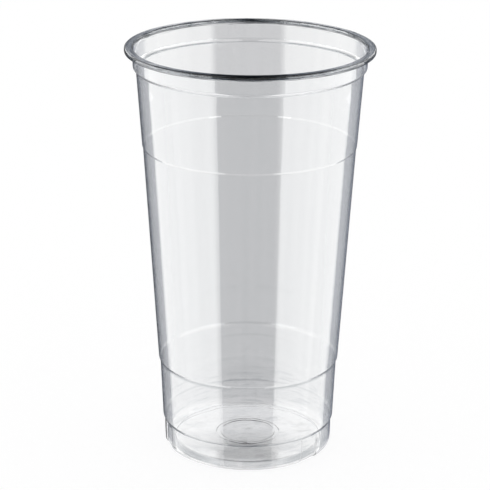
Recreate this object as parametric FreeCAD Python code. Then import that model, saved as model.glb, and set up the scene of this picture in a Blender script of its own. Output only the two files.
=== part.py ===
import FreeCAD, Part
import math
import os

# A clear plastic drinks cup, formed in one piece from a sheet.
# Lengths are in millimetres and angles in degrees. Z is up, and the origin is the middle
# of the foot's resting ring. Radii of the wall are those of its outer face.

# Sheet that the cup is formed from
sheet = 0.36

# Rolled rim
rim_height = 180.5
rim_radius = 53.5
rim_roll_height = 2.2
rim_roll_bend = 0.85
rim_lip_gap = 0.3
rim_lip_bend = 0.75
rim_lip_rise = 1.0

# Neck band, and the stacking shoulder under it
neck_top_radius = 50.0
neck_low_radius = 49.8
shoulder_height = 170.8
shoulder_rise = 1.2
shoulder_radius = 48.5

# Upper wall, down to a small ledge all round
ledge_height = 137.0
ledge_rise = 0.8
ledge_radius = 46.15
ledge_width = 0.35

# Long wall, down to the lower step
step_height = 39.6
step_rise = 1.1
step_radius = 39.65
step_width = 0.65

# Lower band, down to the foot
band_low_radius = 37.85
foot_height = 11.6
foot_rise = 1.5
foot_radius = 37.1
foot_draft = 0.1
foot_bend = 2.2
rest_ring_width = 2.0

# Base, raised inside the foot
base_rise = 2.2
base_wall_draft = 0.5
base_bend = 0.9

# Bend of the sheet at each step, on its inside face
step_bend = 0.9

# Notches pressed into the foot, which keep stacked cups from jamming
notch_count = 3
notch_angle = 14.0
notch_first_angle = -43.0
notch_depth = 0.7
notch_top_margin = 0.4
notch_edge_bend = 0.4

# Stiffening ring in the base
base_ring_radius = 13.0
base_ring_width = 2.0
base_ring_rise = 0.4
base_ring_slope = 0.45
base_ring_bend = 0.5

# Reach of a notch's tool past the foot
tool_reach = 5.0

axis_point = FreeCAD.Vector(0, 0, 0)
axis_direction = FreeCAD.Vector(0, 0, 1)


def corner(radius, height, bend=0.0):
    """A corner of an outline in the X-Z plane, and the radius of its bend."""
    return FreeCAD.Vector(radius, 0, height), bend


def step_corners(low_radius, high_radius, height, rise):
    """The two corners of a step in the wall, on the sheet's inside face."""
    return [
        corner(low_radius - sheet, height, step_bend),
        corner(high_radius - sheet, height + rise, step_bend),
    ]


def base_ring_corners(floor):
    """The four corners of the stiffening ring's section."""
    inner = base_ring_radius - base_ring_width / 2
    outer = base_ring_radius + base_ring_width / 2
    top = floor + base_ring_rise
    return [
        corner(inner - base_ring_slope, floor, base_ring_bend),
        corner(inner, top, base_ring_bend),
        corner(outer, top, base_ring_bend),
        corner(outer + base_ring_slope, floor, base_ring_bend),
    ]


def base_corners():
    """The base and the foot's resting ring, from the middle outwards."""
    floor = base_rise + sheet
    foot_low_radius = foot_radius - foot_draft
    rest_radius = foot_low_radius - foot_bend - rest_ring_width
    return [
        corner(0, floor),
        *base_ring_corners(floor),
        corner(rest_radius - base_wall_draft, floor, base_bend),
        corner(rest_radius, sheet, base_bend),
        corner(foot_low_radius - sheet, sheet, foot_bend - sheet),
    ]


def foot_step_corners():
    """The step at the top of the foot."""
    return step_corners(foot_radius, band_low_radius, foot_height, foot_rise)


def wall_corners():
    """The bands of the body and the neck, from the foot upwards."""
    return [
        *foot_step_corners(),
        *step_corners(step_radius - step_width, step_radius, step_height, step_rise),
        *step_corners(ledge_radius - ledge_width, ledge_radius, ledge_height, ledge_rise),
        *step_corners(shoulder_radius, neck_low_radius, shoulder_height, shoulder_rise),
    ]


def rim_corners():
    """The rim, rolled outwards, down and back to a lip that turns up beside the neck."""
    rim_bottom = rim_height - rim_roll_height
    lip_radius = neck_top_radius + rim_lip_gap
    return [
        corner(neck_top_radius - sheet, rim_height, rim_roll_bend),
        corner(rim_radius, rim_height, rim_roll_bend),
        corner(rim_radius, rim_bottom, rim_roll_bend),
        corner(lip_radius, rim_bottom, rim_lip_bend),
        corner(lip_radius, rim_bottom + rim_lip_rise),
    ]


def directions(corners):
    """The unit vector along each straight run between two corners."""
    points = [point for point, bend in corners]
    return [(end - start).normalize() for start, end in zip(points, points[1:])]


def right_of(direction):
    """The unit vector to the right of a direction in the X-Z plane."""
    return FreeCAD.Vector(direction.z, 0, -direction.x)


def turns_right(before, after):
    """True where the outline turns to the right, seen along its way."""
    return before.z * after.x - before.x * after.z > 0


def moved_right(corners, distance):
    """The corners of a line that runs a distance to the right of the given one."""
    ways = directions(corners)
    moved = [(corners[0][0] + right_of(ways[0]) * distance, 0.0)]
    for before, after, (point, bend) in zip(ways, ways[1:], corners[1:]):
        mitre = right_of(before) + right_of(after)
        shift = mitre * (distance / (1 + before.dot(after)))
        change = -distance if turns_right(before, after) else distance
        moved.append((point + shift, bend + change))
    moved.append((corners[-1][0] + right_of(ways[-1]) * distance, 0.0))
    return moved


def bent_line(corners):
    """Straight edges between the corners, with an arc at each bend."""
    edges = []
    ways = directions(corners)
    start = corners[0][0]
    for before, after, (point, bend) in zip(ways, ways[1:], corners[1:]):
        half_turn = before.getAngle(after) / 2
        reach = bend * math.tan(half_turn)
        arc_start = point - before * reach
        arc_end = point + after * reach
        inwards = (after - before).normalize()
        arc_middle = point + inwards * (bend / math.cos(half_turn) - bend)
        edges.append(Part.LineSegment(start, arc_start).toShape())
        edges.append(Part.Arc(arc_start, arc_middle, arc_end).toShape())
        start = arc_end
    edges.append(Part.LineSegment(start, corners[-1][0]).toShape())
    return edges


def straight_line(points):
    """Straight edges from each point to the next."""
    return [Part.LineSegment(start, end).toShape() for start, end in zip(points, points[1:])]


def turned(edges, angle=360.0):
    """The solid that a closed outline in the X-Z plane sweeps when it turns about Z."""
    face = Part.Face(Part.Wire(Part.__sortEdges__(edges)))
    return face.revolve(axis_point, axis_direction, angle)


def formed_sheet():
    """The whole cup as one turned sheet, before its notches."""
    inside = base_corners() + wall_corners() + rim_corners()
    outside = moved_right(inside, sheet)
    base_end = straight_line([inside[0][0], outside[0][0]])
    lip_end = straight_line([inside[-1][0], outside[-1][0]])
    return turned(bent_line(inside) + lip_end + bent_line(outside) + base_end)


def foot_space():
    """The room inside the foot, out to the middle of the sheet's thickness."""
    line = moved_right(base_corners() + foot_step_corners(), sheet / 2)
    first, last = line[0][0], line[-1][0]
    return turned(bent_line(line) + straight_line([last, FreeCAD.Vector(0, 0, last.z), first]))


def notch_block(grown):
    """The tool for one notch, or the block round it when grown by the sheet's thickness."""
    inner = foot_radius - foot_draft - notch_depth - grown
    outer = foot_radius + tool_reach
    top = foot_height - notch_top_margin + grown
    outline = [
        FreeCAD.Vector(inner, 0, -tool_reach),
        FreeCAD.Vector(outer, 0, -tool_reach),
        FreeCAD.Vector(outer, 0, top),
        FreeCAD.Vector(inner, 0, top),
    ]
    angle = notch_angle + 2 * math.degrees(grown / foot_radius)
    block = turned(straight_line(outline + outline[:1]), angle)
    inner_edges = [
        edge for edge in block.Edges
        if all(abs(math.hypot(v.X, v.Y) - inner) < sheet / 4 for v in edge.Vertexes)
        and abs(edge.Vertexes[0].Z - edge.Vertexes[-1].Z) > foot_height
    ]
    block = block.makeFillet(notch_edge_bend + grown, inner_edges)
    block.rotate(axis_point, axis_direction, -angle / 2)
    return block


def notch_at(index, shape):
    """A copy of a notch's shape at its own place round the foot."""
    placed = shape.copy()
    placed.rotate(axis_point, axis_direction, notch_first_angle + index * 360.0 / notch_count)
    return placed


def make_cup():
    """The turned sheet with its notches, each a recess with a wall of sheet round it."""
    recess = notch_block(0)
    walls = notch_block(sheet).common(foot_space())
    cup = formed_sheet()
    for index in range(notch_count):
        cup = cup.fuse(notch_at(index, walls)).cut(notch_at(index, recess))
    return cup.removeSplitter()


os.makedirs("parts", exist_ok=True)
cup = make_cup()
print("cup volume in cubic millimetres:", round(cup.Volume, 1))
cup.exportStep("parts/cup.step")
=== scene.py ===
import math
import bpy
import numpy as np
from mathutils import Matrix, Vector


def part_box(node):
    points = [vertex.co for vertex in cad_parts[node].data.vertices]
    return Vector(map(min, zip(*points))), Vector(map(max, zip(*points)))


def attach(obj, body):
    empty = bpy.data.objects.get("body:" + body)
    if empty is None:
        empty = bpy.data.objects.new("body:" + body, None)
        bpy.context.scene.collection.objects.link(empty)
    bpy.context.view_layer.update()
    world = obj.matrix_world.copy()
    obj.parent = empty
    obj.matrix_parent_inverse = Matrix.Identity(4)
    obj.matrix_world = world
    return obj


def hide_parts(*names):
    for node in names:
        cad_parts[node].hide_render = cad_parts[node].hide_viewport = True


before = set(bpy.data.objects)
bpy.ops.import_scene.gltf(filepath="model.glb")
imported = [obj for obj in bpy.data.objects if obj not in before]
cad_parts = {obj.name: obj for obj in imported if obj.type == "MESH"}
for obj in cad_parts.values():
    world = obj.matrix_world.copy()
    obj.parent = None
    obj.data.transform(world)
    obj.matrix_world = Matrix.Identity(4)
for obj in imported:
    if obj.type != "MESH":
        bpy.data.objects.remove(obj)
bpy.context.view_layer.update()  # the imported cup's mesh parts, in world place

mm = 0.001
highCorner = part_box("cup")[1]
rimRadius = highCorner[0] / mm
rimHeight = highCorner[2] / mm
print("frame loaded: rim radius", round(rimRadius, 2), "mm, height", round(rimHeight, 2), "mm")

# The cup's own sizes in millimetres, outer face of the wall, as in the part's source
cupShape = {
    "sheet": 0.36,
    "rollHeight": 2.2, "rollBend": 0.85, "lipGap": 0.3, "lipBend": 0.75, "lipRise": 1.0,
    "neckTopRadius": 50.0, "neckLowRadius": 49.8,
    "shoulderHeight": 170.8, "shoulderRise": 1.2, "shoulderRadius": 48.5,
    "ledgeHeight": 137.0, "ledgeRise": 0.8, "ledgeRadius": 46.15, "ledgeWidth": 0.35,
    "stepHeight": 39.6, "stepRise": 1.1, "stepRadius": 39.65, "stepWidth": 0.65,
    "bandLowRadius": 37.85, "footHeight": 11.6, "footRise": 1.5,
    "footRadius": 37.1, "footDraft": 0.1, "footBend": 2.2, "restRingWidth": 2.0,
    "baseRise": 2.2, "baseWallDraft": 0.5, "baseBend": 0.9, "stepBend": 0.9,
    "ringRadius": 13.0, "ringWidth": 2.0, "ringRise": 0.4, "ringSlope": 0.45, "ringBend": 0.5,
    "notchCount": 3, "notchAngle": 14.0, "notchFirst": -43.0, "notchDepth": 0.7,
    "notchTop": 11.2, "notchSlope": 0.5, "notchFade": 1.2,
    # the mesh: steps in a bend, round the axis and across a notch's side, and the longest straight runs
    "bendSteps": 4, "turnSteps": 204, "notchSteps": 6, "fineRun": 1.25, "fineTop": 42.0, "longRun": 6.0,
    # the closest runs: this far down from the rim, and this far to both sides of the foot's step
    "closeRun": 0.35, "closeNeck": 10.0, "closeFoot": 12.5, "closeReach": 1.5,
    # small waves: their size and length, and (start, end) of the rise or fall at their ends
    "baseWave": 0.028, "baseWaveLength": 6.0, "underWaveLength": 7.8, "baseWaveFall": (27.0, 31.0),
    "baseWaveTop": 4.2, "bandWave": 0.006, "bandWaveLength": 4.5, "bandWaveTurn": 0.5,
    "bandWaveRise": (12.0, 16.0), "bandWaveFall": (34.0, 40.0),
    "rimWave": 0.03, "rimWaveLength": 12.0, "rimWaveHeight": 4.0, "rimWaveMean": 1.8,
    "rimWaveLimits": (0.9, 2.7), "rimWaveRise": 0.5,
}


def insideCorners(v):
    # corners (radius, height, bend) of the sheet's inside face, from the base's middle to the lip
    s, floor = v["sheet"], v["baseRise"] + v["sheet"]
    footLow = v["footRadius"] - v["footDraft"]
    rest = footLow - v["footBend"] - v["restRingWidth"]
    ringIn, ringOut = v["ringRadius"] - v["ringWidth"] / 2, v["ringRadius"] + v["ringWidth"] / 2
    rollLow, lip = rimHeight - v["rollHeight"], v["neckTopRadius"] + v["lipGap"]
    return np.array([
        (0, floor, 0),
        (ringIn - v["ringSlope"], floor, v["ringBend"]),
        (ringIn, floor + v["ringRise"], v["ringBend"]),
        (ringOut, floor + v["ringRise"], v["ringBend"]),
        (ringOut + v["ringSlope"], floor, v["ringBend"]),
        (rest - v["baseWallDraft"], floor, v["baseBend"]),
        (rest, s, v["baseBend"]),
        (footLow - s, s, v["footBend"] - s),
        (v["footRadius"] - s, v["footHeight"], v["stepBend"]),
        (v["bandLowRadius"] - s, v["footHeight"] + v["footRise"], v["stepBend"]),
        (v["stepRadius"] - v["stepWidth"] - s, v["stepHeight"], v["stepBend"]),
        (v["stepRadius"] - s, v["stepHeight"] + v["stepRise"], v["stepBend"]),
        (v["ledgeRadius"] - v["ledgeWidth"] - s, v["ledgeHeight"], v["stepBend"]),
        (v["ledgeRadius"] - s, v["ledgeHeight"] + v["ledgeRise"], v["stepBend"]),
        (v["shoulderRadius"] - s, v["shoulderHeight"], v["stepBend"]),
        (v["neckLowRadius"] - s, v["shoulderHeight"] + v["shoulderRise"], v["stepBend"]),
        (v["neckTopRadius"] - s, rimHeight, v["rollBend"]),
        (rimRadius, rimHeight, v["rollBend"]),
        (rimRadius, rollLow, v["rollBend"]),
        (lip, rollLow, v["lipBend"]),
        (lip, rollLow + v["lipRise"], 0),
    ], dtype=float)


def runDirections(points):
    # unit vectors from each corner to the next
    runs = np.diff(points[:, :2], axis=0)
    return runs / np.linalg.norm(runs, axis=1, keepdims=True)


def outsideCorners(corners, thickness):
    # the same line moved one thickness to its right: corner + (n1 + n2) t / (1 + n1.n2)
    ways = runDirections(corners)
    right = np.stack([ways[:, 1], -ways[:, 0]], axis=1)
    before, after = right[:-1], right[1:]
    shift = (before + after) * (thickness / (1 + (before * after).sum(axis=1)))[:, None]
    rightTurn = ways[:-1, 1] * ways[1:, 0] - ways[:-1, 0] * ways[1:, 1] > 0
    moved = corners.copy()
    moved[1:-1, :2] += shift
    moved[0, :2] += right[0] * thickness
    moved[-1, :2] += right[-1] * thickness
    moved[1:-1, 2] += np.where(rightTurn, -thickness, thickness)
    return moved


def bentLine(corners, steps):
    # each corner p becomes an arc about c = p + inwards * bend / cos(h), with the points
    # c + bend (tangent sin a - inwards cos a), where a runs from -h to h and h is half the turn
    ways = runDirections(corners)
    before, after, points, bend = ways[:-1], ways[1:], corners[1:-1, :2], corners[1:-1, 2]
    half = np.arccos(np.clip((before * after).sum(axis=1), -1, 1)) / 2
    inwards = (after - before) / np.linalg.norm(after - before, axis=1, keepdims=True)
    tangent = (after + before) / np.linalg.norm(after + before, axis=1, keepdims=True)
    centre = points + inwards * (bend / np.cos(half))[:, None]
    a = half[:, None] * np.linspace(-1, 1, steps + 1)[None, :]
    arcs = centre[:, None, :] + bend[:, None, None] * (
        tangent[:, None, :] * np.sin(a)[..., None] - inwards[:, None, :] * np.cos(a)[..., None])
    return np.concatenate([corners[:1, :2], arcs.reshape(-1, 2), corners[-1:, :2]])


def filledLine(points, v):
    # extra points p (1 - s) + q s along each straight run from p to q, at even shares s
    lengths = np.linalg.norm(np.diff(points, axis=0), axis=1)
    middle = (points[:-1, 1] + points[1:, 1]) / 2
    closest = (middle > rimHeight - v["closeNeck"]) | (np.abs(middle - v["closeFoot"]) < v["closeReach"])
    run = np.where(closest, v["closeRun"], np.where(middle < v["fineTop"], v["fineRun"], v["longRun"]))
    counts = np.maximum(1, np.ceil(lengths / run)).astype(int)
    start = np.repeat(np.arange(len(counts)), counts)
    within = np.arange(counts.sum()) - np.repeat(np.cumsum(counts) - counts, counts)
    share = (within / np.repeat(counts, counts))[:, None]
    return np.concatenate([points[start] * (1 - share) + points[start + 1] * share, points[-1:]])


def turnAngles(v):
    # even steps all round, with closer ones across each notch's two sides
    even = np.linspace(0, 2 * math.pi, v["turnSteps"], endpoint=False)
    half, slope = math.radians(v["notchAngle"]) / 2, v["notchSlope"] / v["footRadius"]
    side = np.linspace(-slope, slope, v["notchSteps"] + 1)
    centres = math.radians(v["notchFirst"]) + np.arange(v["notchCount"]) * 2 * math.pi / v["notchCount"]
    sides = centres[:, None, None] + np.array([-half, half])[None, :, None] + side
    close = sides.reshape(-1) % (2 * math.pi)
    gap = np.abs(even[:, None] - close[None, :]).min(axis=1)
    return np.sort(np.concatenate([even[gap > slope / 2], close]))


def smoothRise(value, low, high):
    # 0 below low, 1 above high and s = 3t^2 - 2t^3 between
    t = np.clip((value - low) / (high - low), 0, 1)
    return t * t * (3 - 2 * t)


def waves(x, y, count, seed):
    # sum of sines of about one unit's length in all directions, scaled to about -1..1
    rng = np.random.default_rng(seed)
    way = rng.uniform(0, 2 * math.pi, count)
    size = 2 * math.pi / rng.uniform(0.7, 1.6, count)
    phase = rng.uniform(0, 2 * math.pi, count)
    total = np.zeros(np.broadcast(x, y).shape)
    for k in range(count):
        total += np.sin(size[k] * (np.cos(way[k]) * x + np.sin(way[k]) * y) + phase[k])
    return total / math.sqrt(count)


def notchShare(angle, v):
    # 1 inside a notch and 0 outside, with a smooth slope at each side
    period = 2 * math.pi / v["notchCount"]
    offset = np.abs((angle - math.radians(v["notchFirst"]) + period / 2) % period - period / 2)
    half, slope = math.radians(v["notchAngle"]) / 2, v["notchSlope"] / v["footRadius"]
    return smoothRise(-offset, -half - slope, slope - half)


def notchPush(r, z, angle, v):
    # how far the notches push the foot's wall inwards: depth * share, on the wall and below the notch's top
    wall = v["footRadius"] - v["footBend"]
    atWall = smoothRise(r, wall - v["notchFade"], wall)
    below = 1 - smoothRise(z, v["notchTop"] - v["notchSlope"], v["notchTop"])
    return v["notchDepth"] * notchShare(angle, v) * atWall * below


def baseLift(r, z, angle, onInside, v):
    # uneven thickness of the base: waves of one length on its upper face and of another on its underside
    x, y = r * np.cos(angle), r * np.sin(angle)
    onBase = (1 - smoothRise(r, *v["baseWaveFall"])) * (z < v["baseWaveTop"])
    upper = waves(x / v["baseWaveLength"], y / v["baseWaveLength"], 14, 3)
    under = waves(x / v["underWaveLength"], y / v["underWaveLength"], 12, 8)
    return v["baseWave"] * onBase * np.where(onInside, upper, under)


def bandRipple(z, angle, onInside, v):
    # faint ripples on the inside of the lower band, over its height and over a share of a turn
    inBand = smoothRise(z, *v["bandWaveRise"]) * (1 - smoothRise(z, *v["bandWaveFall"])) * onInside
    return v["bandWave"] * inBand * waves(angle / v["bandWaveTurn"], z / v["bandWaveLength"], 8, 5)


def rimDip(z, angle, v):
    # the rolled rim is a little uneven along its way round, always inwards of its full radius
    rollLow = rimHeight - v["rollHeight"]
    atRim = smoothRise(z, rollLow - v["rimWaveRise"], rollLow)
    uneven = waves(angle * rimRadius / v["rimWaveLength"], z / v["rimWaveHeight"], 10, 6)
    return v["rimWave"] * atRim * np.clip(v["rimWaveMean"] + uneven, *v["rimWaveLimits"])


def cupGrid(v):
    # the sheet's whole section, inside face then outside face, turned about Z: (r cos a, r sin a, z)
    inside = insideCorners(v)
    outside = outsideCorners(inside, v["sheet"])
    insideLine = filledLine(bentLine(inside, v["bendSteps"]), v)
    outsideLine = filledLine(bentLine(outside, v["bendSteps"]), v)
    line = np.concatenate([insideLine, outsideLine[::-1]])
    onInside = (np.arange(len(line)) < len(insideLine))[:, None]
    angle = turnAngles(v)
    r, z = line[:, :1] + 0 * angle, line[:, 1:] + 0 * angle
    r = r - notchPush(r, z, angle, v)
    z = z + baseLift(r, z, angle, onInside, v)
    r = r + bandRipple(z, angle, onInside, v)
    r = r - rimDip(z, angle, v)
    return np.stack([r * np.cos(angle), r * np.sin(angle), z], axis=2) * mm


# The clear plastic's tints and the light and shade painted into them: tints are what one wall lets through,
# and zones and lines (painted highlights and painted shade) are (low, high, depth) in millimetres of height.
# Pairs are where something starts and where it is whole.
plastic = {
    "wallTint": 0.905, "tintPowers": (1.06, 1.0, 0.95), "clearSoft": 0.3, "lineSoft": 0.12,
    "drawStreaks": 0.007, "drawWidth": 5.0, "drawLength": 360.0, "drawLimits": (-0.02, 0.03),
    # the first zones are painted highlight lines at the ledge's and the shoulder's bends
    "highlightZones": ((136.8, 138.0, 0.8), (171.2, 172.1, 0.4)), "baseClear": (3.0, 4.0),
    # the dark zones are painted shade lines at the shoulder's bends, all round
    "darkZones": ((170.45, 171.0, 0.15), (172.0, 172.4, 0.12)),
    # painted highlight and painted shade lines at the bends, by the sine of the angle from the front or the
    # back, or by y
    "stepHighlight": (38.4, 40.5, 1.0), "stepHighlightRise": (0.12, 0.3), "stepHighlightFall": (0.76, 0.86),
    "stepLine": (39.1, 39.7, 0.3), "stepLineRise": (0.15, 0.4),
    "footLine": (11.7, 12.6, 0.45), "footLineBack": 0.25, "footLineTurn": (-6.0, 6.0),
    "shoulderLine": (170.45, 171.25, 0.5), "shoulderLineRise": (0.2, 0.4),
    "restLine": 0.5, "restRise": (31.8, 32.2), "restFall": (33.6, 34.2),
    # the rolled rim's outer face, top and underside, where they are light and where painted shade makes them
    # dark
    "rimLight": (0.93, 0.96, 0.96), "rimDark": (0.055, 0.05, 0.80),
    "darkTurn": 9.0, "darkSide": 0.3, "sideTurn": 14.0,
    "rimStreaks": 0.25, "rimStreakLength": 54.0, "rimStreakWidth": 1.2, "darkest": 0.01,
    # heights from the rim's top, from its underside (low), and radii from its edge or from the neck (inner)
    "rimRise": (-2.5, -2.1), "rimInnerEdge": (-0.5, -0.3), "topRise": (-0.6, -0.1), "topEdge": (-0.9, -0.4),
    "lowFaceRise": (0.3, 0.9), "outerRise": (-0.75, -0.5), "outerEdge": (-0.55, -0.3),
    "lowLineRise": (0.3, 0.6), "lowLineEdge": (-1.3, -0.9), "sideEdge": (-0.6, -0.3),
    "innerRise": (-1.4, -1.0), "innerBackRise": (-1.55, -1.2), "innerBackFall": (-0.4, -0.15),
    "innerEdge": (0.3, 0.7),
    # depths of the rim's fine painted shade lines, and the powers that keep them to the sides or the back
    "outerLine": 0.40, "innerLine": 0.45, "innerLineBack": 0.97, "backTurn": 12.0,
    "sideLine": 0.93, "sideLineTurn": 3.0, "lowLineTurn": 2.0,
    # painted shade at a low angle: the ramp's ends, its steps as (place, share of the face's tint), and
    # steepness
    "faceTint": (1.0, 1.0, 1.0), "edgeShadeTint": (0.22, 0.245, 0.31), "edgeStart": 0.56, "edgeEnd": 0.88,
    "edgeSteps": ((0.60, 0.60), (0.66, 0.55), (0.76, 0.485)), "edgeSteep": (0.75, 0.45), "rimEdgeShare": 0.2,
    # painted dark lines along the rim, and painted dark level streaks near the table, in metres
    "lineScale": (0.75, 0.035, 1.0), "lineDetail": 1.0, "lineWidth": 0.05, "lineShadeTint": (0.10, 0.12, 0.15),
    "rippleScale": (90.0, 90.0, 700.0), "rippleDetail": 3.0, "rippleBend": 0.6, "rippleRise": (0.50, 0.72),
    "rippleFall": (0.024, 0.012), "streakShadeTint": (0.86, 0.87, 0.88),
    "index": 1.57, "roughness": 0.01, "shadowTint": (0.985, 0.985, 0.987),
}


def zoneShare(z, zones, soft):
    # each zone's own depth within it and 0 outside them all, softened at its ends
    share = 0 * z
    for low, high, depth in zones:
        inside = smoothRise(z, low, low + soft) * (1 - smoothRise(z, high - soft, high))
        share = np.maximum(share, depth * inside)
    return share


def rimPaintedOutlines(up, lift, out, past, angle, back, v):
    # painted shade: the product of 1 - depth over the fine dark lines along the roll's outer, inner and side
    # edges
    across, aside = np.abs(np.cos(angle)), np.abs(np.sin(angle))
    outer = smoothRise(out, *v["outerEdge"]) * smoothRise(up, *v["outerRise"])
    lower = smoothRise(out, *v["lowLineEdge"]) * (1 - smoothRise(lift, *v["lowLineRise"]))
    outer = v["outerLine"] * np.maximum(outer, lower * aside ** v["lowLineTurn"]) * (1 - back)
    behind = smoothRise(up, *v["innerBackRise"]) * (1 - smoothRise(up, *v["innerBackFall"]))
    inner = np.where(back, behind, smoothRise(up, *v["innerRise"])) * (1 - smoothRise(past, *v["innerEdge"]))
    core = across ** v["backTurn"] * back
    inner = inner * (v["innerLine"] * (1 - core) + v["innerLineBack"] * core)
    side = v["sideLine"] * smoothRise(out, *v["sideEdge"]) * aside ** v["sideLineTurn"]
    return (1 - outer) * (1 - inner) * (1 - side)


def rimTintAndPaintedShade(r, z, angle, back, shape, v):
    # painted shade on each face of the roll, light^(1 - f) dark^f: f is |cos a|^n in front and a little |sin
    # a|^m beside
    up, lift = z - rimHeight, z - rimHeight + shape["rollHeight"]
    out, past = r - rimRadius, r - shape["neckTopRadius"]
    f = np.maximum(np.abs(np.cos(angle)) ** v["darkTurn"] * (1 - back),
                   v["darkSide"] * np.abs(np.sin(angle)) ** v["sideTurn"])
    top = smoothRise(up, *v["topRise"]) * (1 - smoothRise(out, *v["topEdge"]))
    low = 1 - smoothRise(lift, *v["lowFaceRise"])
    light, dark = [outer + (level - outer) * top + (under - outer) * low
                   for outer, level, under in (v["rimLight"], v["rimDark"])]
    streaks = waves(angle * rimRadius / v["rimStreakLength"], (r + z) / v["rimStreakWidth"], 16, 9)
    rim = light ** (1 - f) * dark ** f * np.exp(v["rimStreaks"] * streaks)
    return np.clip(rim * rimPaintedOutlines(up, lift, out, past, angle, back, v), v["darkest"], 1)


def gridTintAndPaintedLight(grid, shape, v):
    # what the sheet lets through at each point, with painted light and shade in it: the wall's tint times 1 -
    # depth over its painted dark lines
    x, y, z = (grid / mm).transpose(2, 0, 1)
    r, angle = np.hypot(x, y), np.arctan2(x, -y)
    front, back, aside = y < 0, y > 0, np.abs(np.sin(angle))
    # clearer at the base, and clearer in painted highlight lines at the bends and to both sides of the lower
    # step's back
    clear = np.maximum(zoneShare(z, v["highlightZones"], v["clearSoft"]), 1 - smoothRise(z, *v["baseClear"]))
    beside = back * smoothRise(aside, *v["stepHighlightRise"]) * (1 - smoothRise(aside, *v["stepHighlightFall"]))
    clear = np.maximum(clear, zoneShare(z, [v["stepHighlight"]], v["clearSoft"]) * beside)
    # drawn out a little unevenly, in upright streaks
    around = angle * shape["neckTopRadius"]
    drawn = v["drawStreaks"] * waves(around / v["drawWidth"], z / v["drawLength"], 10, 21)
    wall = (v["wallTint"] + (1 - v["wallTint"]) * clear) * (1 - np.clip(drawn, *v["drawLimits"]))
    # painted shade: darker at the shoulder, the foot's step, the lower step's front, the shoulder's back and
    # the base's edge
    soft = v["lineSoft"]
    footShare = 1 - (1 - v["footLineBack"]) * smoothRise(y, *v["footLineTurn"])
    atRest = smoothRise(r, *v["restRise"]) * (1 - smoothRise(r, *v["restFall"])) * (z < v["baseClear"][1])
    for depth in (
            zoneShare(z, v["darkZones"], soft),
            zoneShare(z, [v["footLine"]], soft) * footShare,
            zoneShare(z, [v["stepLine"]], soft) * front * smoothRise(aside, *v["stepLineRise"]),
            zoneShare(z, [v["shoulderLine"]], soft) * back * smoothRise(aside, *v["shoulderLineRise"]),
            v["restLine"] * atRest * front * np.sin(2 * angle) ** 2):
        wall = wall * (1 - depth)
    past = r - shape["neckTopRadius"]
    # in the rim, its painted shade takes the place of the wall's tint
    atRim = smoothRise(z - rimHeight, *v["rimRise"]) * smoothRise(past, *v["rimInnerEdge"])
    shade = wall ** (1 - atRim) * rimTintAndPaintedShade(r, z, angle, back * 1.0, shape, v) ** atRim
    tint = np.clip(shade[..., None] ** np.array(v["tintPowers"]), 0, 1)
    return np.concatenate([tint, atRim[..., None]], axis=2)


def sheetPlaces(grid):
    # millimetres along the section for each row, and round the rim for each column and the first one again
    run = np.linalg.norm(np.diff(grid[:, 0], axis=0), axis=1) / mm
    along = np.concatenate([[0], np.cumsum(run)])
    around = np.unwrap(np.arctan2(grid[2, :, 1], grid[2, :, 0])) * rimRadius
    return along, np.append(around, around[0] + 2 * math.pi * rimRadius)


def closedMesh(name, grid):
    # rows run along the section and columns round the axis; the first and last rows meet in one point each
    rows, cols = grid.shape[:2]
    body = grid[1:-1].reshape(-1, 3)
    verts = np.concatenate([body, grid[0, :1] * (0, 0, 1), grid[-1, :1] * (0, 0, 1)])
    i, j = np.meshgrid(np.arange(rows - 3), np.arange(cols), indexing="ij")
    a, b = i * cols + j, i * cols + (j + 1) % cols
    quads = np.stack([a, b, b + cols, a + cols], axis=-1).reshape(-1, 4)
    ring, nextRing = np.arange(cols), (np.arange(cols) + 1) % cols
    tip, last = len(body), (rows - 3) * cols
    firstCap = np.stack([np.full(cols, tip), nextRing, ring], axis=1)
    lastCap = np.stack([np.full(cols, tip + 1), last + ring, last + nextRing], axis=1)
    faces = quads.tolist() + firstCap.tolist() + lastCap.tolist()
    mesh = bpy.data.meshes.new(name)
    mesh.from_pydata(verts.tolist(), [], faces)
    mesh.polygons.foreach_set("use_smooth", np.ones(len(faces), dtype=bool))
    # the sheet's own places on each quad's corners, for patterns that follow it
    along, around = sheetPlaces(grid)
    u = np.stack([along[i + 1], along[i + 1], along[i + 2], along[i + 2]], axis=-1).reshape(-1)
    w = np.stack([around[j], around[j + 1], around[j + 1], around[j]], axis=-1).reshape(-1)
    uv = np.concatenate([np.stack([u, w], axis=1), np.zeros((6 * cols, 2))])
    mesh.uv_layers.new(name="sheetPlace").data.foreach_set("uv", uv.reshape(-1))
    mesh.update()
    return mesh


def storeColours(mesh, name, rgba):
    # one colour for each vertex, which a material reads by its name
    stored = mesh.color_attributes.new(name=name, type="FLOAT_COLOR", domain="POINT")
    stored.data.foreach_set("color", rgba.reshape(-1))


def pointOutwards(mesh):
    # the signed volume, the sum of p0.(p1 x p2)/6 over the triangles, is positive when faces point outwards
    mesh.calc_loop_triangles()
    tris = np.empty(len(mesh.loop_triangles) * 3, dtype=np.int32)
    mesh.loop_triangles.foreach_get("vertices", tris)
    co = np.empty(len(mesh.vertices) * 3)
    mesh.vertices.foreach_get("co", co)
    p = co.reshape(-1, 3)[tris.reshape(-1, 3)]
    volume = np.einsum("ij,ij->i", p[:, 0], np.cross(p[:, 1], p[:, 2])).sum() / 6
    if volume < 0:
        mesh.flip_normals()
    return abs(volume)


def newObject(name, data):
    # an object in the scene, at the origin
    obj = bpy.data.objects.new(name, data)
    bpy.context.scene.collection.objects.link(obj)
    return obj


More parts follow.
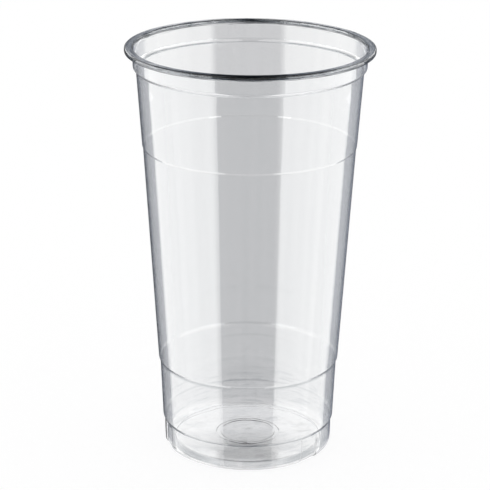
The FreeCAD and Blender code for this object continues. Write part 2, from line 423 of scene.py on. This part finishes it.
def makeCup(shape, tintsAndPaintedLight):
    # the sheet's closed mesh, with its tint and painted light and shade stored in the order of its vertices:
    # body, first tip, last tip
    grid = cupGrid(shape)
    mesh = closedMesh("clearCup", grid)
    tint = gridTintAndPaintedLight(grid, shape, tintsAndPaintedLight)
    storeColours(mesh, "sheetTintAndPaintedLight", np.concatenate([tint[1:-1].reshape(-1, 4), tint[0, :1], tint[-1, :1]]))
    volume = pointOutwards(mesh)
    mesh.materials.append(clearPlastic(tintsAndPaintedLight))
    print("cup made:", len(mesh.polygons), "faces,", round(volume * 1e6, 2), "cubic centimetres of plastic")
    return newObject("clear_cup", mesh)


def emptyMaterial(name):
    # a material with no nodes yet
    mat = bpy.data.materials.new(name)
    mat.use_nodes = True
    mat.node_tree.nodes.clear()
    return mat


def addNode(tree, kind, inputs, **settings):
    # a node with its settings; each input, by name or number, is a plain value or another node's output
    node = tree.nodes.new(kind)
    for name, value in settings.items():
        setattr(node, name, value)
    for name, value in inputs.items():
        if isinstance(value, bpy.types.NodeSocket):
            tree.links.new(value, node.inputs[name])
        else:
            node.inputs[name].default_value = value
    return node


def mathOf(tree, operation, *values):
    # one Math node's result
    return addNode(tree, "ShaderNodeMath", dict(enumerate(values)), operation=operation).outputs["Value"]


def riseOf(tree, value, low, high):
    # smoothRise as a node: 0 at low and 1 at high
    ends = {"Value": value, "From Min": low, "From Max": high}
    return addNode(tree, "ShaderNodeMapRange", ends, interpolation_type="SMOOTHSTEP").outputs["Result"]


def multiplied(tree, share, colour, tint):
    # colour * tint where share is 1, and colour alone where it is 0
    inputs = {0: share, 6: colour, 7: tint}
    return addNode(tree, "ShaderNodeMix", inputs, data_type="RGBA", blend_type="MULTIPLY").outputs[2]


def stretched(tree, place, scale):
    # a place times the scale, along each axis
    inputs = {"Vector": place, "Scale": scale}
    return addNode(tree, "ShaderNodeMapping", inputs, vector_type="POINT").outputs["Vector"]


def edgeShade(tree, rimShare, v):
    # painted shade: seen at a low angle the sheet shows darker, on upright walls only, and less in the rim
    facing = addNode(tree, "ShaderNodeLayerWeight", {"Blend": 0.5}).outputs["Facing"]
    normal = addNode(tree, "ShaderNodeNewGeometry", {}).outputs["Normal"]
    level = mathOf(tree, "ABSOLUTE", addNode(tree, "ShaderNodeSeparateXYZ", {"Vector": normal}).outputs["Z"])
    upright = mathOf(tree, "MULTIPLY", facing, riseOf(tree, level, *v["edgeSteep"]))
    shares = {"Value": rimShare, "To Min": 1.0, "To Max": v["rimEdgeShare"]}
    outsideRim = addNode(tree, "ShaderNodeMapRange", shares).outputs["Result"]
    ramp = addNode(tree, "ShaderNodeValToRGB", {"Fac": mathOf(tree, "MULTIPLY", upright, outsideRim)})
    stops = ramp.color_ramp.elements
    stops[0].position, stops[0].color = v["edgeStart"], (*v["faceTint"], 1)
    stops[1].position, stops[1].color = v["edgeEnd"], (*v["edgeShadeTint"], 1)
    for position, share in v["edgeSteps"]:
        middle = [share * full + (1 - share) * edge for full, edge in zip(v["faceTint"], v["edgeShadeTint"])]
        stops.new(position).color = (*middle, 1)
    return ramp.outputs["Color"]


def rimPaintedLines(tree, rimShare, v):
    # painted shade: fine dark lines run along the rolled rim, where a noise drawn out along it crosses its
    # middle value
    place = addNode(tree, "ShaderNodeUVMap", {}, uv_map="sheetPlace").outputs["UV"]
    drawn = stretched(tree, place, v["lineScale"])
    grain = {"Vector": drawn, "Scale": 1.0, "Detail": v["lineDetail"]}
    noise = addNode(tree, "ShaderNodeTexNoise", grain, noise_dimensions="2D").outputs["Fac"]
    away = mathOf(tree, "ABSOLUTE", mathOf(tree, "SUBTRACT", noise, 0.5))
    return mathOf(tree, "MULTIPLY", riseOf(tree, away, v["lineWidth"], 0.0), rimShare)


def lowPaintedStreaks(tree, v):
    # painted shade: the lower band and the base, which are a little uneven, are darker in level streaks
    place = addNode(tree, "ShaderNodeTexCoord", {}).outputs["Object"]
    grain = {"Vector": stretched(tree, place, v["rippleScale"]), "Scale": 1.0,
             "Detail": v["rippleDetail"], "Distortion": v["rippleBend"]}
    noise = addNode(tree, "ShaderNodeTexNoise", grain).outputs["Fac"]
    streaks = riseOf(tree, noise, *v["rippleRise"])
    height = addNode(tree, "ShaderNodeSeparateXYZ", {"Vector": place}).outputs["Z"]
    return mathOf(tree, "MULTIPLY", streaks, riseOf(tree, height, *v["rippleFall"]))


def clearPlastic(v):
    # two kinds of ray: lamp and diffuse rays pass straight through, all others meet a glossy refracting sheet
    mat = emptyMaterial("clearPlastic")
    tree = mat.node_tree
    # the stored colour is the sheet's tint with painted highlights and painted shade in it
    stored = addNode(tree, "ShaderNodeAttribute", {}, attribute_name="sheetTintAndPaintedLight")
    rimShare = stored.outputs["Alpha"]
    tint = multiplied(tree, 1.0, edgeShade(tree, rimShare, v), stored.outputs["Color"])
    tint = multiplied(tree, rimPaintedLines(tree, rimShare, v), tint, (*v["lineShadeTint"], 1))
    tint = multiplied(tree, lowPaintedStreaks(tree, v), tint, (*v["streakShadeTint"], 1))
    glass = addNode(tree, "ShaderNodeBsdfPrincipled", {
        "Base Color": tint, "Transmission Weight": 1.0, "IOR": v["index"], "Roughness": v["roughness"]})
    clear = addNode(tree, "ShaderNodeBsdfTransparent", {"Color": (*v["shadowTint"], 1)})
    path = addNode(tree, "ShaderNodeLightPath", {})
    either = mathOf(tree, "MAXIMUM", path.outputs["Is Shadow Ray"], path.outputs["Is Diffuse Ray"])
    both = {0: either, 1: glass.outputs["BSDF"], 2: clear.outputs["BSDF"]}
    mix = addNode(tree, "ShaderNodeMixShader", both)
    addNode(tree, "ShaderNodeOutputMaterial", {"Surface": mix.outputs["Shader"]})
    print("clear plastic made:", len(tree.nodes), "nodes")
    return mat


# The white table and world, the grey strip behind the cup and the cards round it, in metres and degrees
studio = {
    "floorSize": 6.0, "floorColour": (1.0, 1.0, 1.0), "worldColour": (1.0, 1.0, 1.0), "tableDrop": 0.0004,
    # the strip: half widths near and far, its edges as shares of them, and (y, shade) along it; its shades
    # under and just behind the cup are painted light and shade seen through the base
    "stripStart": -0.036, "stripEnd": 1.3, "stripRows": 240, "stripCols": 97,
    "stripNear": 0.0133, "stripFar": 0.0410, "stripCore": 0.85, "stripSide": 1.12, "stripWhole": 2.6,
    "stripGrey": (0.63, 0.63, 0.642), "stripPale": 0.80,
    "stripSoft": (0.45, 0.45, 0.15), "stripSoftStart": (-0.018, -0.010), "stripSoftEnd": (0.0, 0.012),
    "stripShades": (
        (-0.036, 1.15), (-0.026, 1.15), (-0.022, 0.64), (-0.018, 0.62), (-0.006, 0.78),
        (0.002, 1.0), (0.010, 1.22), (0.033, 1.3), (0.036, 1.0)),
    # cards on the table, by the turn of the wall that mirrors them
    "cardInner": 0.039, "cardReach": 1.2, "cardDrop": 0.0002, "farStart": 0.48, "farDrop": 0.0001,
    "frontTurn": 17.0, "softTurn": 44.0, "backTurn": 62.7, "cardSteps": 24,
    # cards on a dome, by their rise, and the turn of some to both sides of the back
    "domeRadius": 1.6, "domeRise": (30.0, 89.0), "glowRise": (0.0, 38.0),
    "stripLightTurn": 12.0, "stripLightRise": (14.0, 30.0), "lowBackTurn": 60.0, "lowBackRise": (-9.0, 13.0),
    # upright cards behind the rim
    "rimCards": ((-0.12, -0.022), (-0.022, 0.022), (0.022, 0.12)), "rimCardPlace": 0.30,
    "rimCardRise": (0.225, 0.36),
    "cardColours": {
        "dark": (0.03, 0.035, 0.045), "dim": (0.14, 0.155, 0.19), "rim": (0.28, 0.30, 0.36),
        "soft": (1.6, 1.6, 1.6), "light": (2.0, 2.0, 2.0), "far": (2.3, 2.3, 2.3), "bright": (5.0, 5.0, 5.0)},
}


def plainWorld(v):
    # an even light from all round, at a strength of 1
    world = bpy.data.worlds.new("studioWorld")
    bpy.context.scene.world = world
    world.use_nodes = True
    back = world.node_tree.nodes["Background"]
    back.inputs["Color"].default_value = (*v["worldColour"], 1)
    back.inputs["Strength"].default_value = 1.0


def paperMaterial(name, colour):
    # one matt colour
    mat = bpy.data.materials.new(name)
    mat.use_nodes = True
    shader = mat.node_tree.nodes["Principled BSDF"]
    shader.inputs["Base Color"].default_value = (*colour, 1)
    shader.inputs["Roughness"].default_value = 1.0
    shader.inputs["Specular IOR Level"].default_value = 0.0
    return mat


def glowMaterial(name, colour=(1.0, 1.0, 1.0), stored=None):
    # gives off one colour, or the colour that its mesh stores at each point under a name
    mat = emptyMaterial(name)
    tree = mat.node_tree
    source = (*colour, 1)
    if stored:
        source = addNode(tree, "ShaderNodeAttribute", {}, attribute_name=stored).outputs["Color"]
    glow = addNode(tree, "ShaderNodeEmission", {"Color": source})
    addNode(tree, "ShaderNodeOutputMaterial", {"Surface": glow.outputs["Emission"]})
    return mat


def gridFaces(rows, cols):
    # quads between the neighbouring points of a grid, row after row
    i, j = np.meshgrid(np.arange(rows - 1), np.arange(cols - 1), indexing="ij")
    corner = (i * cols + j).reshape(-1)
    return np.stack([corner, corner + 1, corner + cols + 1, corner + cols], axis=1).tolist()


def stagePiece(name, verts, faces, material):
    # a mesh of the stage, which isn't part of the object
    mesh = bpy.data.meshes.new(name)
    mesh.from_pydata(verts, [], faces)
    mesh.materials.append(material)
    obj = newObject(name, mesh)
    return obj


def shownTo(obj, through, reflected):
    # a card that the camera and the diffuse light pass by
    obj.visible_camera = obj.visible_shadow = obj.visible_diffuse = False
    obj.visible_transmission, obj.visible_glossy = through, reflected


def stripColours(u, y, v):
    # grey (1 - f) + white f: f rises to the pale share beside the core and to 1 at the edge
    under = smoothRise(y, *v["stripSoftStart"]) * (1 - smoothRise(y, *v["stripSoftEnd"]))
    softCore, softSide, softPale = [share * under for share in v["stripSoft"]]
    core = v["stripCore"] / v["stripWhole"] * (1 - softCore)
    side = v["stripSide"] / v["stripWhole"] * (1 + softSide)
    pale = v["stripPale"] - softPale
    rise = pale * smoothRise(np.abs(u), core, side) + (1 - pale) * smoothRise(np.abs(u), side, 1)
    # painted light and shade along y, seen through the cup's base and foot
    places, shades = np.array(v["stripShades"]).T
    grey = np.interp(y, places, shades)[..., None] * np.array(v["stripGrey"])
    colour = grey * (1 - rise[..., None]) + rise[..., None]
    return np.concatenate([colour, np.ones(y.shape + (1,))], axis=2)


def greyStrip(v):
    # rows across the table from under the cup outwards: x = u w(y), with w growing evenly behind the cup
    rows, cols, start, end = v["stripRows"], v["stripCols"], v["stripStart"], v["stripEnd"]
    under = np.linspace(start, -start, rows // 2, endpoint=False)
    y = np.concatenate([under, np.linspace(-start, end, rows - rows // 2)])
    t = np.clip((y + start) / (end + start), 0, 1)
    half = (v["stripNear"] + (v["stripFar"] - v["stripNear"]) * t) * v["stripWhole"]
    y, u = np.meshgrid(y, np.linspace(-1, 1, cols), indexing="ij")
    verts = np.stack([u * half[:, None], y, 0 * y - v["cardDrop"]], axis=2).reshape(-1, 3)
    material = glowMaterial("stripGrey", stored="stripColour")
    strip = stagePiece("grey_strip", verts.tolist(), gridFaces(rows, cols), material)
    storeColours(strip.data, "stripColour", stripColours(u, y, v))
    shownTo(strip, through=True, reflected=False)


def tableCard(name, start, end, near, drop, material, v):
    # what the wall from one turn t to another mirrors: from w = r (sin t, -cos t) out along (sin 2t, -cos 2t)
    turn = np.radians(np.linspace(start, end, v["cardSteps"]))
    wall = np.stack([np.sin(turn), -np.cos(turn), 0 * turn], axis=1) * v["cardInner"]
    way = np.stack([np.sin(2 * turn), -np.cos(2 * turn), 0 * turn], axis=1)
    card = np.concatenate([wall + way * near, (wall + way * v["cardReach"])[::-1]]) - (0, 0, drop)
    piece = stagePiece(name, card.tolist(), [tuple(range(len(card)))], material)
    shownTo(piece, through=False, reflected=True)


def placeTableCards(glow, v):
    # the front is dark, both sides are light and the edges dark again
    front, soft, back, near, drop = v["frontTurn"], v["softTurn"], v["backTurn"], v["farStart"], v["farDrop"]
    for name, start, end, shade in (
            ("front_card", -front, front, "dark"),
            ("right_card", front, soft, "light"), ("left_card", -soft, -front, "light"),
            ("right_soft_card", soft, back, "soft"), ("left_soft_card", -back, -soft, "soft"),
            ("right_back_card", back, 90, "dim"), ("left_back_card", -90, -back, "dark")):
        tableCard(name, start, end, 0.0, v["cardDrop"], glow[shade], v)
    # far out, where only the rim and the steps mirror them, the sides are brighter
    for name, start, end in (("right_far_card", front, back), ("left_far_card", -back, -front)):
        tableCard(name, start, end, near, drop, glow["far"], v)


def domeCard(name, ways, rise, material, v):
    # a patch of a sphere round the cup: R (cos e sin a, cos e cos a, sin e)
    steps = v["cardSteps"]
    a, e = np.meshgrid(np.radians(np.linspace(*ways, steps)), np.radians(np.linspace(*rise, steps)))
    verts = np.stack([np.cos(e) * np.sin(a), np.cos(e) * np.cos(a), np.sin(e)], axis=2) * v["domeRadius"]
    return stagePiece(name, verts.reshape(-1, 3).tolist(), gridFaces(steps, steps), material)


def placeDomeCards(glow, v):
    # by the way a from the middle of the back, which is 180 - 2t for a wall at the turn t
    backWay, frontWay = 180 - 2 * v["backTurn"], 180 - 2 * v["frontTurn"]
    right, left = (backWay, frontWay), (360 - frontWay, 360 - backWay)
    dome, glowRise, stripRise = v["domeRise"], v["glowRise"], v["stripLightRise"]
    strip, low = v["stripLightTurn"], v["lowBackTurn"]
    for name, ways, rise, shade, through, reflected in (
            ("back_dome", (-backWay, backWay), dome, "dark", True, True),
            ("front_dome", (frontWay, 360 - frontWay), dome, "dark", True, True),
            ("right_dome", right, dome, "light", True, False),
            ("left_dome", left, dome, "light", True, False),
            ("right_glow", right, glowRise, "bright", False, True),
            ("left_glow", left, glowRise, "bright", False, True),
            ("right_strip", (strip, backWay), stripRise, "light", False, True),
            ("left_strip", (-backWay, -strip), stripRise, "light", False, True),
            ("low_back_card", (-low, low), v["lowBackRise"], "dark", False, True)):
        shownTo(domeCard(name, ways, rise, glow[shade], v), through, reflected)


def placeRimCards(glow, v):
    # upright cards behind, high enough that only the rim's level top mirrors them, darkest in the middle
    y, (low, high) = v["rimCardPlace"], v["rimCardRise"]
    names, shades = ("left_rim_card", "rim_card", "right_rim_card"), ("rim", "dark", "rim")
    for name, shade, (start, end) in zip(names, shades, v["rimCards"]):
        corners = [(start, y, low), (end, y, low), (end, y, high), (start, y, high)]
        shownTo(stagePiece(name, corners, [(0, 1, 2, 3)], glow[shade]), through=False, reflected=True)


def makeStudio(v):
    # a level white table a little under the cup, the strip on it, and all cards
    plainWorld(v)
    half, table = v["floorSize"] / 2, -v["tableDrop"]
    corners = [(-half, -half, table), (half, -half, table), (half, half, table), (-half, half, table)]
    stagePiece("table_top", corners, [(0, 1, 2, 3)], paperMaterial("tableWhite", v["floorColour"]))
    greyStrip(v)
    glow = {name: glowMaterial(name + "Card", colour) for name, colour in v["cardColours"].items()}
    placeTableCards(glow, v)
    placeDomeCards(glow, v)
    placeRimCards(glow, v)
    print("studio made")


# The camera of the photograph: place in metres, tilt down and roll in degrees, lens in millimetres
cameraView = {
    "place": (-0.00172, -0.8569, 0.3862), "tilt": 18.987, "roll": 0.355, "lens": 152.4, "sensor": 36.0,
}


def makeCamera(v):
    # its place, then the turn up from looking straight down, then the roll about its own axis
    data = bpy.data.cameras.new("photoCamera")
    data.lens, data.sensor_width = v["lens"], v["sensor"]
    camera = newObject("photo_camera", data)
    tilt = Matrix.Rotation(math.radians(90 - v["tilt"]), 4, "X")
    roll = Matrix.Rotation(math.radians(v["roll"]), 4, "Z")
    camera.matrix_world = Matrix.Translation(v["place"]) @ (tilt @ roll)
    bpy.context.scene.camera = camera
    print("camera made")


bpy.context.scene.view_settings.view_transform = "Standard"
cup = makeCup(cupShape, plastic)
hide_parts("cup")
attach(cup, "root")
makeStudio(studio)
makeCamera(cameraView)
